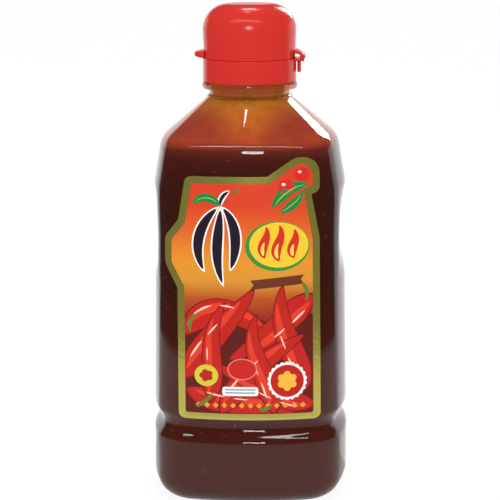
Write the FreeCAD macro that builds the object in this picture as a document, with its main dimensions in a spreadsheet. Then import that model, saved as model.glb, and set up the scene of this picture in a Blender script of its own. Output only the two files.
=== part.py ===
import FreeCAD, Part
import Sketcher
import math
import os

# A clear squeeze bottle of chilli sauce with a red flip-top cap, in millimetres.
# The bottle stands on the XY plane with its axis on Z and its label facing -Y.
# The cap's hinge is on the +X side and its thumb tab on the -X side.

SIZES = {
    # blown body: a rounded square with slightly crowned panels
    "body_width": 68.8,
    "body_depth": 67.2,
    "body_corner": 14.5,
    "body_crown": 86.0,
    "heel_radius": 8.4,
    "body_wall": 0.6,
    # label panel: drawn in from the base, more at its top than at its foot
    "panel_foot_inset": 0.2,
    "panel_top_inset": 0.8,
    # ring pressed into the body above the base
    "ring_low": 22.9,
    "ring_high": 33.0,
    "ring_depth": 2.25,
    # grip waist in the two side panels
    "waist_low": 76.9,
    "waist_high": 110.5,
    "waist_depth": 2.1,
    "waist_crown": 2000.0,
    # shoulder
    "shoulder_height": 126.1,
    "shoulder_width": 62.0,
    "shoulder_depth": 62.4,
    "shoulder_corner": 14.0,
    "shoulder_radius": 7.5,
    # neck
    "root_height": 140.3,
    "root_inset": 0.2,
    "root_overlap": 0.5,
    "neck_radius": 14.1,
    "neck_bore": 12.5,
    "bead_radius": 14.9,
    "bead_drop": 0.5,
    "bead_height": 0.8,
    "flange_low": 142.7,
    "flange_high": 145.1,
    "flange_radius": 16.6,
    "flange_bevel": 0.6,
    "finish_top": 151.5,
    # contents
    "sauce_level": 124.4,
    # label: its outline seen from the front, clockwise from the lower left
    "label_thickness": 0.12,
    "label_left": 24.0,
    "label_right": 25.15,
    "label_low": 31.2,
    "bend_x": 24.6,
    "bend_z": 94.8,
    "notch_x": 21.8,
    "notch_z": 109.8,
    "crest_low_x": 24.65,
    "crest_low_z": 110.9,
    "crest_high_x": 24.4,
    "crest_high_z": 122.3,
    "peak_x": 16.4,
    "slope_foot_x": 6.8,
    "label_high": 115.9,
    "label_top_left": 21.0,
    "lobe_top_x": 23.5,
    "lobe_top_z": 100.9,
    "lobe_reach": 28.4,
    "lobe_high_z": 94.5,
    "lobe_low_z": 85.4,
    "lobe_foot_z": 77.1,
    "label_corner": 2.4,
    "label_lobe": 5.4,
    "label_notch": 0.5,
    # cap
    "cap_radius": 16.3,
    "cap_wall": 1.4,
    "seam_height": 153.2,
    "seam_gap": 0.06,
    "collar_clearance": 0.4,
    "collar_height": 0.8,
    "seal_clearance": 0.1,
    "seal_wall": 1.2,
    "seal_depth": 3.2,
    "spout_radius": 3.4,
    "spout_tip_radius": 3.0,
    "spout_bore": 1.6,
    "spout_height": 5.5,
    # lid
    "lid_top": 172.3,
    "lid_round": 8.9,
    "lid_crown": 1.0,
    "lid_wall": 1.4,
    "ceiling_bevel": 5.2,
    "sleeve_bore": 3.9,
    "sleeve_wall": 0.9,
    "sleeve_overlap": 2.4,
    # thumb tab
    "tab_root": 15.5,
    "tab_reach": 19.1,
    "tab_width": 10.0,
    "tab_root_high": 156.1,
    "tab_tip_high": 155.5,
    "tab_tip_low": 154.0,
    "tab_corner": 2.4,
    # hinge
    "hinge_x": 18.5,
    "hinge_z": 153.9,
    "hinge_width": 9.0,
    "hinge_root": 15.5,
    "knuckle_radius": 1.0,
    "knuckle_gap": 0.06,
    "knuckle_lap": 0.6,
    "strap_lap": 0.8,
    "strap_high": 156.3,
    "strap_low": 155.0,
    "strap_knee_x": 17.2,
    "strap_knee_drop": 0.3,
    "bracket_thickness": 0.9,
    "leg_gap": 0.35,
    "leg_thickness": 1.3,
    "leg_low": 148.3,
    "leg_width": 5.0,
    "leg_end_radius": 0.6,
}

# The waist is deepest below its middle, and is drawn through sections at these fractions of its height.
WAIST_DEEPEST = 0.44
WAIST_STATIONS = [0.1, 0.2, 0.32, 0.44, 0.56, 0.68, 0.8, 0.9]
# The pressed ring is this many ruled bands, with a slightly flattened bottom.
RING_BANDS = 8
RING_FLATNESS = 0.8

doc = FreeCAD.newDocument("SauceBottle")
sheet = doc.addObject("Spreadsheet::Sheet", "Sizes")
for row, (alias, size) in enumerate(SIZES.items(), start=1):
    sheet.set(f"A{row}", alias)
    sheet.set(f"B{row}", str(size))
    sheet.setAlias(f"B{row}", alias)
doc.recompute()


def value(expression):
    """The present value, in millimetres, of an expression that reads the sheet."""
    return float(sheet.evalExpression(expression))


def origin_plane(body, role):
    return next(item for item in body.Origin.OriginFeatures if item.Role == role)


def new_sketch(body, name, role, offset="0"):
    """An empty sketch on one of the body's own origin planes, lifted by offset."""
    sketch = body.newObject("Sketcher::SketchObject", name)
    sketch.AttachmentSupport = [(origin_plane(body, role), "")]
    sketch.MapMode = "FlatFace"
    sketch.setExpression("AttachmentOffset.Base.z", offset)
    return sketch


def dimension(sketch, kind, places, name, expression):
    """A named size in a sketch, bound to the sheet."""
    index = sketch.addConstraint(Sketcher.Constraint(kind, *places, value(expression)))
    sketch.renameConstraint(index, name)
    sketch.setExpression(f"Constraints.{name}", expression)


def arc(centre_x, centre_y, radius, start, end):
    centre = FreeCAD.Vector(centre_x, centre_y, 0)
    circle = Part.Circle(centre, FreeCAD.Vector(0, 0, 1), radius)
    return Part.ArcOfCircle(circle, start, end)


def corner_centre(half_x, half_y, corner, crown_x, crown_y):
    """The centre of the corner arc that touches both crowned panels from inside."""
    x, y = half_x - corner, half_y - corner
    for _ in range(40):
        side_x, front_y = x - (half_x - crown_x), y - (half_y - crown_y)
        to_side, to_front = math.hypot(side_x, y), math.hypot(x, front_y)
        miss_side = to_side - (crown_x - corner)
        miss_front = to_front - (crown_y - corner)
        a, b, c, d = side_x / to_side, y / to_side, x / to_front, front_y / to_front
        spread = a * d - b * c
        x -= (miss_side * d - miss_front * b) / spread
        y -= (miss_front * a - miss_side * c) / spread
    return x, y


def panel_section(body, name, height, half_x, half_y, corner, crown_x, crown_y):
    """A level section of the bottle: four crowned panels joined by four corner arcs."""
    sketch = new_sketch(body, name, "XY_Plane", height)
    hx, hy, rc, kx, ky = (value(size) for size in (half_x, half_y, corner, crown_x, crown_y))
    cx, cy = corner_centre(hx, hy, rc, kx, ky)
    side = math.atan2(cy, cx - (hx - kx))
    front = math.atan2(cy - (hy - ky), cx)
    half_turn = math.pi
    arcs = [
        arc(hx - kx, 0, kx, -side, side),
        arc(cx, cy, rc, side, front),
        arc(0, hy - ky, ky, front, half_turn - front),
        arc(-cx, cy, rc, half_turn - front, half_turn - side),
        arc(kx - hx, 0, kx, half_turn - side, half_turn + side),
        arc(-cx, -cy, rc, half_turn + side, half_turn + front),
        arc(0, ky - hy, ky, half_turn + front, -front),
        arc(cx, -cy, rc, -front, -side),
    ]
    for edge in arcs:
        sketch.addGeometry(edge, False)
    join = Sketcher.Constraint
    for index in range(8):
        sketch.addConstraint(join("Tangent", index, 2, (index + 1) % 8, 1))
    for first, second in [(1, 3), (1, 5), (1, 7), (0, 4), (2, 6)]:
        sketch.addConstraint(join("Equal", first, second))
    for index, axis in [(0, -1), (4, -1), (2, -2), (6, -2)]:
        sketch.addConstraint(join("PointOnObject", index, 3, axis))
    dimension(sketch, "Radius", (1,), "corner", corner)
    dimension(sketch, "Radius", (0,), "crown_x", crown_x)
    dimension(sketch, "Radius", (2,), "crown_y", crown_y)
    dimension(sketch, "DistanceX", (0, 3, -1, 1), "right", f"{crown_x} - ({half_x})")
    dimension(sketch, "DistanceX", (-1, 1, 4, 3), "left", f"{crown_x} - ({half_x})")
    dimension(sketch, "DistanceY", (2, 3, -1, 1), "back", f"{crown_y} - ({half_y})")
    dimension(sketch, "DistanceY", (-1, 1, 6, 3), "front", f"{crown_y} - ({half_y})")
    return sketch


def loft(body, name, sections, ruled):
    feature = body.newObject("PartDesign::AdditiveLoft", name)
    feature.Profile = sections[0]
    feature.Sections = sections[1:]
    feature.Ruled = ruled
    doc.recompute()
    return feature


def pad(body, name, sketch, length, both_ways=False):
    feature = body.newObject("PartDesign::Pad", name)
    feature.Profile = sketch
    feature.Midplane = both_ways
    feature.setExpression("Length", length)
    doc.recompute()
    return feature


def disc(body, name, height, radius, thickness):
    """A round pad on the bottle's axis."""
    sketch = new_sketch(body, name + "_circle", "XY_Plane", height)
    sketch.addGeometry(Part.Circle(FreeCAD.Vector(), FreeCAD.Vector(0, 0, 1), value(radius)), False)
    sketch.addConstraint(Sketcher.Constraint("Coincident", 0, 3, -1, 1))
    dimension(sketch, "Radius", (0,), "radius", radius)
    return pad(body, name, sketch, thickness)


def round_edges(body, name, edges, radius):
    """Fillet the edges of the body's tip that the test picks."""
    base = body.Tip
    picked = [f"Edge{n}" for n, edge in enumerate(base.Shape.Edges, start=1) if edges(edge)]
    feature = body.newObject("PartDesign::Fillet", name)
    feature.Base = (base, picked)
    feature.setExpression("Radius", radius)
    doc.recompute()
    return feature


def bevel_edges(body, name, edges, size):
    """Chamfer the edges of the body's tip that the test picks."""
    base = body.Tip
    picked = [f"Edge{n}" for n, edge in enumerate(base.Shape.Edges, start=1) if edges(edge)]
    feature = body.newObject("PartDesign::Chamfer", name)
    feature.Base = (base, picked)
    feature.setExpression("Size", size)
    doc.recompute()
    return feature


def level_edge(height):
    """A test for edges that lie level at the given height."""
    def lies_level(edge):
        box = edge.BoundBox
        return abs(box.ZMin - height) < 0.01 and abs(box.ZMax - height) < 0.01
    return lies_level


def waist_sink(fraction):
    """1 at the deepest place of the waist, 0 at both ends, steeper below than above."""
    if fraction < WAIST_DEEPEST:
        return math.sin(math.pi / 2 * (fraction / WAIST_DEEPEST) ** 0.8) ** 2
    return math.cos(math.pi / 2 * (fraction - WAIST_DEEPEST) / (1 - WAIST_DEEPEST))


def body_section(body, name, height, inset, half_x="Sizes.body_width / 2", crown_x="Sizes.body_crown"):
    """A section of the upright part of the body, drawn in by inset."""
    return panel_section(
        body, name, height,
        f"{half_x} - ({inset})", f"Sizes.body_depth / 2 - ({inset})", f"Sizes.body_corner - ({inset})",
        f"{crown_x} - ({inset})", f"Sizes.body_crown - ({inset})",
    )


def waist_section(body, name, fraction, inset):
    """A section between the foot and the top of the waist: only the side panels draw in."""
    sink = round(waist_sink(fraction), 4)
    height = f"Sizes.waist_low + {fraction} * (Sizes.waist_high - Sizes.waist_low)"
    half_x = f"Sizes.body_width / 2 - {sink} * Sizes.waist_depth"
    crown_x = f"1 / ((1 - {sink}) / Sizes.body_crown + {sink} / Sizes.waist_crown)"
    return body_section(body, name, height, f"{inset} + Sizes.panel_top_inset", half_x, crown_x)


def pressed_ring(body, inset):
    """The ring pressed into the body between its base and the label panel."""
    bands = []
    for number in range(RING_BANDS + 1):
        fraction = number / RING_BANDS
        depth = round(((1 - math.cos(2 * math.pi * fraction)) / 2) ** RING_FLATNESS, 4)
        height = f"Sizes.ring_low + {fraction} * (Sizes.ring_high - Sizes.ring_low)"
        drawn_in = f"{inset} + {depth} * Sizes.ring_depth + {fraction} * Sizes.panel_foot_inset"
        bands.append(body_section(body, f"ring_{number}", height, drawn_in))
    loft(body, "pressed_ring", bands, True)


def upright_walls(body, inset):
    """The body from the pressed ring up to the shoulder edge, in three lofts."""
    low = body_section(body, "wall_low", "Sizes.ring_high", f"{inset} + Sizes.panel_foot_inset")
    sections = [waist_section(body, "waist_0", 0, inset)]
    for number, fraction in enumerate(WAIST_STATIONS, start=1):
        sections.append(waist_section(body, f"waist_{number}", fraction, inset))
    sections.append(waist_section(body, "waist_end", 1, inset))
    edge = shoulder_section(body, "shoulder_edge", inset)
    loft(body, "lower_wall", [low, sections[0]], True)
    loft(body, "waist", sections, False)
    loft(body, "chest", [sections[-1], edge], True)
    return edge


def shoulder_section(body, name, inset):
    return panel_section(
        body, name, "Sizes.shoulder_height",
        f"Sizes.shoulder_width / 2 - ({inset})", f"Sizes.shoulder_depth / 2 - ({inset})",
        f"Sizes.shoulder_corner - ({inset})",
        f"Sizes.body_crown - ({inset})", f"Sizes.body_crown - ({inset})",
    )


def root_section(body, radius):
    """The foot of the neck: nearly a circle, drawn as the same eight arcs as the body.

    It stays just inside the neck, whose foot starts a little lower and covers it.
    """
    radius = f"{radius} - Sizes.root_inset"
    return panel_section(
        body, "root", "Sizes.root_height", radius, radius,
        f"{radius} - 0.8", f"{radius} + 0.8", f"{radius} + 0.8",
    )


def blown_form(label, inset, floor, neck_radius):
    """The filled form of the bottle up to the foot of the neck, drawn in by inset."""
    body = doc.addObject("PartDesign::Body", label)
    foot = body_section(body, "foot", floor, inset)
    pad(body, "base", foot, f"Sizes.ring_low - ({floor})")
    round_edges(body, "heel", level_edge(value(floor)), f"Sizes.heel_radius - ({inset})")
    pressed_ring(body, inset)
    edge = upright_walls(body, inset)
    loft(body, "shoulder", [edge, root_section(body, neck_radius)], True)
    round_edges(body, "shoulder_round", level_edge(value("Sizes.shoulder_height")),
                f"Sizes.shoulder_radius - ({inset})")
    return body


def outline(body, name, role, corners, crowned=()):
    """A closed outline whose corners are pairs of expressions.

    The segments numbered in crowned are arcs that start on the axis, with their centre on it.
    """
    sketch = new_sketch(body, name, role)
    points = [FreeCAD.Vector(value(x), value(z), 0) for x, z in corners]
    count = len(points)
    starts = {}
    for index in range(count):
        here, there = points[index], points[(index + 1) % count]
        if index in crowned:
            drop = here.y - there.y
            radius = (there.x ** 2 + drop ** 2) / (2 * drop)
            angle = math.atan2(there.y - here.y + radius, there.x)
            sketch.addGeometry(arc(0, here.y - radius, radius, angle, math.pi / 2), False)
            sketch.addConstraint(Sketcher.Constraint("PointOnObject", index, 3, -2))
            starts[index] = 2
        else:
            sketch.addGeometry(Part.LineSegment(here, there), False)
            starts[index] = 1
    for index in range(count):
        after = (index + 1) % count
        end = 3 - starts[index]
        sketch.addConstraint(Sketcher.Constraint("Coincident", index, end, after, starts[after]))
    for index, (x, z) in enumerate(corners):
        dimension(sketch, "DistanceX", (-1, 1, index, starts[index]), f"x{index}", x)
        dimension(sketch, "DistanceY", (-1, 1, index, starts[index]), f"z{index}", z)
    return sketch


def revolve(body, name, corners, crowned=()):
    """Turn an outline in the XZ plane once round the bottle's axis."""
    sketch = outline(body, name + "_profile", "XZ_Plane", corners, crowned)
    feature = body.newObject("PartDesign::Revolution", name)
    feature.Profile = sketch
    feature.ReferenceAxis = (sketch, ["V_Axis"])
    feature.Angle = 360
    doc.recompute()
    return feature


def cross_slab(body, name, corners, width):
    """Pad an outline in the XZ plane half its width to each side."""
    return pad(body, name, outline(body, name + "_outline", "XZ_Plane", corners), width, True)


def cross_edges(edge):
    """A test for the straight edges that run front to back, as a slab's corners do."""
    box = edge.BoundBox
    return box.XLength < 1e-4 and box.ZLength < 1e-4 and box.YLength > 1


def edges_at(corners):
    """A test for a slab's corner edges that stand at the given corners of its outline."""
    places = [(value(x), value(z)) for x, z in corners]

    def stands_there(edge):
        box = edge.BoundBox
        return cross_edges(edge) and any(abs(box.XMin - x) + abs(box.ZMin - z) < 0.01 for x, z in places)
    return stands_there


def ring_edges(radius, *heights):
    """A test for the round edges of the given radius at the given heights."""
    def is_ring(edge):
        box = edge.BoundBox
        at_height = any(abs(box.ZMin - height) < 0.01 and box.ZLength < 0.01 for height in heights)
        return at_height and abs(box.XMax - radius) < 0.01
    return is_ring


def hinge_circle(body, name, radius):
    """A circle about the hinge line, in the XZ plane."""
    sketch = new_sketch(body, name, "XZ_Plane")
    centre = FreeCAD.Vector(value("Sizes.hinge_x"), value("Sizes.hinge_z"), 0)
    sketch.addGeometry(Part.Circle(centre, FreeCAD.Vector(0, 0, 1), value(radius)), False)
    dimension(sketch, "Radius", (0,), "radius", radius)
    dimension(sketch, "DistanceX", (-1, 1, 0, 3), "x", "Sizes.hinge_x")
    dimension(sketch, "DistanceY", (-1, 1, 0, 3), "z", "Sizes.hinge_z")
    return sketch


def boolean(kind, label, base, tool):
    """A Part::Cut or Part::Common of two objects, under its own label."""
    feature = doc.addObject(kind, label)
    feature.Base = base
    feature.Tool = tool
    doc.recompute()
    return feature


# Bottle: one blown piece of clear plastic, with a moulded neck that is open at the top.
outer = blown_form("outer_form", "0", "0", "Sizes.neck_radius")
NECK_FOOT = "Sizes.root_height - Sizes.root_overlap"
disc(outer, "neck", NECK_FOOT, "Sizes.neck_radius", f"Sizes.finish_top - ({NECK_FOOT})")
disc(outer, "root_bead", "Sizes.root_height - Sizes.bead_drop", "Sizes.bead_radius", "Sizes.bead_height")
disc(outer, "flange", "Sizes.flange_low", "Sizes.flange_radius", "Sizes.flange_high - Sizes.flange_low")
flange_rim = ring_edges(value("Sizes.flange_radius"), value("Sizes.flange_low"), value("Sizes.flange_high"))
bevel_edges(outer, "flange_rim", flange_rim, "Sizes.flange_bevel")
cavity = blown_form("cavity_form", "Sizes.body_wall", "Sizes.body_wall", "Sizes.neck_bore")
disc(cavity, "bore", NECK_FOOT, "Sizes.neck_bore", f"Sizes.finish_top - ({NECK_FOOT}) + 1")
bottle = boolean("Part::Cut", "bottle", outer, cavity)

# Sauce: fills the bottle from its floor up to the level.
fill = doc.addObject("Part::Box", "fill_level")
for side in ("Length", "Width"):
    fill.setExpression(side, "2 * Sizes.body_width")
fill.setExpression("Height", "Sizes.sauce_level")
for axis in "xy":
    fill.setExpression(f"Placement.Base.{axis}", "-Sizes.body_width")
sauce = boolean("Part::Common", "sauce", cavity, fill)

# Label: a die-cut sticker that follows the front panel and turns onto both front corners.
skin = doc.addObject("PartDesign::Body", "label_skin")
pressed_ring(skin, "-Sizes.label_thickness")
upright_walls(skin, "-Sizes.label_thickness")
die = doc.addObject("PartDesign::Body", "label_die")
LABEL_CORNERS = {
    "low_left": ("-Sizes.label_left", "Sizes.label_low"),
    "low_right": ("Sizes.label_right", "Sizes.label_low"),
    "bend": ("Sizes.bend_x", "Sizes.bend_z"),
    "notch": ("Sizes.notch_x", "Sizes.notch_z"),
    "crest_low": ("Sizes.crest_low_x", "Sizes.crest_low_z"),
    "crest_high": ("Sizes.crest_high_x", "Sizes.crest_high_z"),
    "peak": ("Sizes.peak_x", "Sizes.crest_high_z"),
    "slope_foot": ("Sizes.slope_foot_x", "Sizes.label_high"),
    "top_left": ("-Sizes.label_top_left", "Sizes.label_high"),
    "lobe_top": ("-Sizes.lobe_top_x", "Sizes.lobe_top_z"),
    "lobe_high": ("-Sizes.lobe_reach", "Sizes.lobe_high_z"),
    "lobe_low": ("-Sizes.lobe_reach", "Sizes.lobe_low_z"),
    "lobe_foot": ("-Sizes.label_left", "Sizes.lobe_foot_z"),
}
label_outline = outline(die, "die_outline", "XZ_Plane", list(LABEL_CORNERS.values()))
pad(die, "die", label_outline, "Sizes.body_width")
ROUNDED = {
    "label_lobe": ("bend", "crest_high", "peak", "lobe_high", "lobe_low"),
    "label_corner": ("low_left", "low_right", "crest_low", "top_left"),
    "label_notch": ("notch", "slope_foot", "lobe_top", "lobe_foot"),
}
for radius, names in ROUNDED.items():
    corners = [LABEL_CORNERS[name] for name in names]
    round_edges(die, "die_" + radius, edges_at(corners), "Sizes." + radius)
sticker = boolean("Part::Common", "sticker_block", skin, die)
label = boolean("Part::Cut", "label", sticker, outer)

# Cap base: a skirt round the neck under a deck with a spout, a sealing ring and the hinge's bracket.
CAP_INSIDE = "Sizes.cap_radius - Sizes.cap_wall"
DECK_TOP = "Sizes.seam_height + Sizes.collar_height"
SPOUT_TOP = f"{DECK_TOP} + Sizes.spout_height"
SEAL_OUTSIDE = "Sizes.neck_bore - Sizes.seal_clearance"
cap_base = doc.addObject("PartDesign::Body", "cap_base")
revolve(cap_base, "skirt_and_deck", [
    ("Sizes.cap_radius", "Sizes.flange_high"),
    ("Sizes.cap_radius", "Sizes.seam_height"),
    (f"{CAP_INSIDE} - Sizes.collar_clearance", "Sizes.seam_height"),
    (f"{CAP_INSIDE} - Sizes.collar_clearance", DECK_TOP),
    ("Sizes.spout_radius", DECK_TOP),
    ("Sizes.spout_tip_radius", SPOUT_TOP),
    ("Sizes.spout_bore", SPOUT_TOP),
    ("Sizes.spout_bore", "Sizes.finish_top"),
    (f"{SEAL_OUTSIDE} - Sizes.seal_wall", "Sizes.finish_top"),
    (f"{SEAL_OUTSIDE} - Sizes.seal_wall", "Sizes.finish_top - Sizes.seal_depth"),
    (SEAL_OUTSIDE, "Sizes.finish_top - Sizes.seal_depth"),
    (SEAL_OUTSIDE, "Sizes.finish_top"),
    (CAP_INSIDE, "Sizes.finish_top"),
    (CAP_INSIDE, "Sizes.flange_high"),
])
cross_slab(cap_base, "bracket", [
    ("Sizes.hinge_root", "Sizes.seam_height - Sizes.bracket_thickness"),
    ("Sizes.hinge_x + Sizes.knuckle_lap", "Sizes.seam_height - Sizes.bracket_thickness"),
    ("Sizes.hinge_x + Sizes.knuckle_lap", "Sizes.seam_height"),
    ("Sizes.hinge_root", "Sizes.seam_height"),
], "Sizes.hinge_width")
LEG_INSIDE = "Sizes.cap_radius + Sizes.leg_gap"
cross_slab(cap_base, "leg", [
    (LEG_INSIDE, "Sizes.leg_low"),
    (f"{LEG_INSIDE} + Sizes.leg_thickness", "Sizes.leg_low"),
    (f"{LEG_INSIDE} + Sizes.leg_thickness", "Sizes.seam_height"),
    (LEG_INSIDE, "Sizes.seam_height"),
], "Sizes.leg_width")
leg_end = level_edge(value("Sizes.leg_low"))
round_edges(cap_base, "leg_end", lambda edge: leg_end(edge) and cross_edges(edge), "Sizes.leg_end_radius")
cradle_circle = hinge_circle(cap_base, "cradle_circle", "Sizes.knuckle_radius + Sizes.knuckle_gap")
before = cap_base.Shape.Volume
cradle = cap_base.newObject("PartDesign::Pocket", "cradle")
cradle.Profile = cradle_circle
cradle.Midplane = True
cradle.setExpression("Length", "Sizes.hinge_width + 2")
doc.recompute()
if cap_base.Shape.Volume > before - 1:
    raise RuntimeError("the hinge's cradle cut nothing")

# Cap lid: a hollow dome with a sleeve that shuts round the spout, a thumb tab and a hinge strap.
LID_INSIDE = "Sizes.cap_radius - Sizes.lid_wall"
CEILING = "Sizes.lid_top - Sizes.lid_crown - Sizes.lid_wall"
LID_LOW = "Sizes.seam_height + Sizes.seam_gap"
cap_lid = doc.addObject("PartDesign::Body", "cap_lid")
revolve(cap_lid, "dome", [
    ("0", "Sizes.lid_top"),
    ("Sizes.cap_radius", "Sizes.lid_top - Sizes.lid_crown"),
    ("Sizes.cap_radius", LID_LOW),
    (LID_INSIDE, LID_LOW),
    (LID_INSIDE, CEILING),
    ("Sizes.sleeve_bore + Sizes.sleeve_wall", CEILING),
    ("Sizes.sleeve_bore + Sizes.sleeve_wall", f"{SPOUT_TOP} - Sizes.sleeve_overlap"),
    ("Sizes.sleeve_bore", f"{SPOUT_TOP} - Sizes.sleeve_overlap"),
    ("Sizes.sleeve_bore", CEILING),
    ("0", CEILING),
], crowned=(0,))
dome_edge = ring_edges(value("Sizes.cap_radius"), value("Sizes.lid_top - Sizes.lid_crown"))
round_edges(cap_lid, "dome_round", dome_edge, "Sizes.lid_round")
ceiling_edge = ring_edges(value(LID_INSIDE), value(CEILING))
bevel_edges(cap_lid, "ceiling_bevel", ceiling_edge, "Sizes.ceiling_bevel")
cross_slab(cap_lid, "thumb_tab", [
    ("-Sizes.tab_root", LID_LOW),
    ("-Sizes.tab_reach", "Sizes.tab_tip_low"),
    ("-Sizes.tab_reach", "Sizes.tab_tip_high"),
    ("-Sizes.tab_root", "Sizes.tab_root_high"),
], "Sizes.tab_width")
tab_reach = value("Sizes.tab_reach")
round_edges(cap_lid, "tab_corners",
            lambda edge: edge.BoundBox.XMax < 0.01 - tab_reach and edge.BoundBox.YLength < 0.01,
            "Sizes.tab_corner")
cross_slab(cap_lid, "strap", [
    ("Sizes.hinge_root", "Sizes.strap_high"),
    ("Sizes.strap_knee_x", "Sizes.strap_high - Sizes.strap_knee_drop"),
    ("Sizes.hinge_x + Sizes.knuckle_lap", "Sizes.hinge_z + Sizes.strap_lap"),
    ("Sizes.hinge_x - Sizes.knuckle_lap", "Sizes.hinge_z + Sizes.knuckle_lap"),
    ("Sizes.strap_knee_x", "Sizes.strap_low - Sizes.strap_knee_drop"),
    ("Sizes.hinge_root", "Sizes.strap_low"),
], "Sizes.hinge_width")
knuckle_circle = hinge_circle(cap_lid, "knuckle_circle", "Sizes.knuckle_radius")
pad(cap_lid, "knuckle", knuckle_circle, "Sizes.hinge_width", True)

for item in doc.Objects:
    if "Invalid" in item.State or "Error" in item.State:
        raise RuntimeError(f"{item.Name} did not build: {item.State}")
os.makedirs("parts", exist_ok=True)
for piece in (bottle, sauce, label, cap_base, cap_lid):
    if piece.Shape.isNull() or not piece.Shape.isValid() or len(piece.Shape.Solids) != 1:
        raise RuntimeError(f"{piece.Label} is not one valid solid")
    piece.Shape.exportStep(f"parts/{piece.Label}.step")
    print(f"{piece.Label}: {piece.Shape.Volume / 1000:.2f} cm3")
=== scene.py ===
import math
import bmesh
import bpy
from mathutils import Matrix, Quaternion, Vector


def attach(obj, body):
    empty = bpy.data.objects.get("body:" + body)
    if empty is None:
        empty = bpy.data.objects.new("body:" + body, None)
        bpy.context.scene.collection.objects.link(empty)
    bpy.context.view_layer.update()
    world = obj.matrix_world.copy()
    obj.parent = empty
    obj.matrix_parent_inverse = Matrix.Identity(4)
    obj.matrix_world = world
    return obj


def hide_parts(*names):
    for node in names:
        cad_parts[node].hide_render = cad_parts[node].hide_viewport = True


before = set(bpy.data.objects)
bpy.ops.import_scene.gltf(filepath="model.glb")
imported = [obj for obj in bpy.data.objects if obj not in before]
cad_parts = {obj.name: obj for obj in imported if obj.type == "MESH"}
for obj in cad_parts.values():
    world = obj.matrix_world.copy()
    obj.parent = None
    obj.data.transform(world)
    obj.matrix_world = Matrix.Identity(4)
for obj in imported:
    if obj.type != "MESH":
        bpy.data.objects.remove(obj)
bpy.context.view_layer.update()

# Bottle: clear PET, blown in one piece, with a moulded neck that the cap clips onto.
# Its section is a rounded square of four crowned panels. A ring is pressed in above the base
# and both side panels draw in to a grip waist. Sizes are in millimetres.
MM = 0.001
HALF_WIDTH, HALF_DEPTH = 34.4, 33.6
BODY_CORNER, BODY_CROWN, HEEL_RADIUS, WALL = 14.5, 86.0, 8.4, 0.6
RING_LOW, RING_HIGH, RING_DEPTH, RING_FLATNESS = 22.9, 33.0, 2.25, 0.8
PANEL_FOOT_INSET, PANEL_TOP_INSET = 0.2, 0.8
WAIST_LOW, WAIST_HIGH, WAIST_DEPTH, WAIST_CROWN = 76.9, 110.5, 2.1, 2000.0
WAIST_DEEPEST, WAIST_FULLNESS = 0.44, 0.8
EDGE_HEIGHT, EDGE_HALF_WIDTH, EDGE_HALF_DEPTH = 126.1, 31.0, 31.2
EDGE_CORNER, EDGE_ROUND = 14.0, 7.5
ROOT_HEIGHT, NECK_RADIUS, NECK_BORE, BORE_LOW, FINISH_TOP = 140.3, 14.1, 12.5, 140.6, 151.5
BEAD_RADIUS, BEAD_LOW, BEAD_HIGH = 14.9, 139.8, 140.6
FLANGE_RADIUS, FLANGE_LOW, FLANGE_HIGH, FLANGE_BEVEL = 16.6, 142.7, 145.1, 0.6
PANEL_STEPS, CORNER_STEPS, NECK_CORNER_TURN = 22, 18, 64
AROUND = 4 * (PANEL_STEPS + CORNER_STEPS)
HEEL_STEPS, FOOT_STEPS, RING_STEPS, PANEL_ROWS, WAIST_STEPS = 12, 5, 26, 16, 30
TOP_STEPS, EDGE_STEPS, SHOULDER_STEPS = 5, 12, 8
WELD = 0.002


def corner_centre(half_x, half_y, corner, crown_x, crown_y):
    """Where the corner arc that touches both crowned panels from inside has its centre."""
    x, y = half_x - corner, half_y - corner
    rounds = 12
    for _ in range(rounds):
        side_x, front_y = x - (half_x - crown_x), y - (half_y - crown_y)
        to_side, to_front = math.hypot(side_x, y), math.hypot(x, front_y)
        miss_side, miss_front = to_side - (crown_x - corner), to_front - (crown_y - corner)
        a, b, c, d = side_x / to_side, y / to_side, x / to_front, front_y / to_front
        spread = a * d - b * c
        x -= (miss_side * d - miss_front * b) / spread
        y -= (miss_front * a - miss_side * c) / spread
    return x, y


def panel_ring(measures, inset, height):
    """One level ring of points round the bottle, drawn in by inset, from the right side on."""
    half_x, half_y, corner, crown_x, crown_y = (size - inset for size in measures)
    cx, cy = corner_centre(half_x, half_y, corner, crown_x, crown_y)
    side, front = math.atan2(cy, cx - half_x + crown_x), math.atan2(cy - half_y + crown_y, cx)
    half_panel = PANEL_STEPS // 2
    quarter = []
    for step in range(half_panel):
        angle = side * step / half_panel
        quarter.append((half_x - crown_x + crown_x * math.cos(angle), crown_x * math.sin(angle)))
    for step in range(CORNER_STEPS):
        angle = side + (front - side) * step / CORNER_STEPS
        quarter.append((cx + corner * math.cos(angle), cy + corner * math.sin(angle)))
    for step in range(half_panel + 1):
        angle = front + (math.pi / 2 - front) * step / half_panel
        quarter.append((crown_y * math.cos(angle), half_y - crown_y + crown_y * math.sin(angle)))
    half = quarter + [(-x, y) for x, y in quarter[-2::-1]]
    return [Vector((x, y, height)) for x, y in half + [(x, -y) for x, y in half[-2:0:-1]]]


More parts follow.
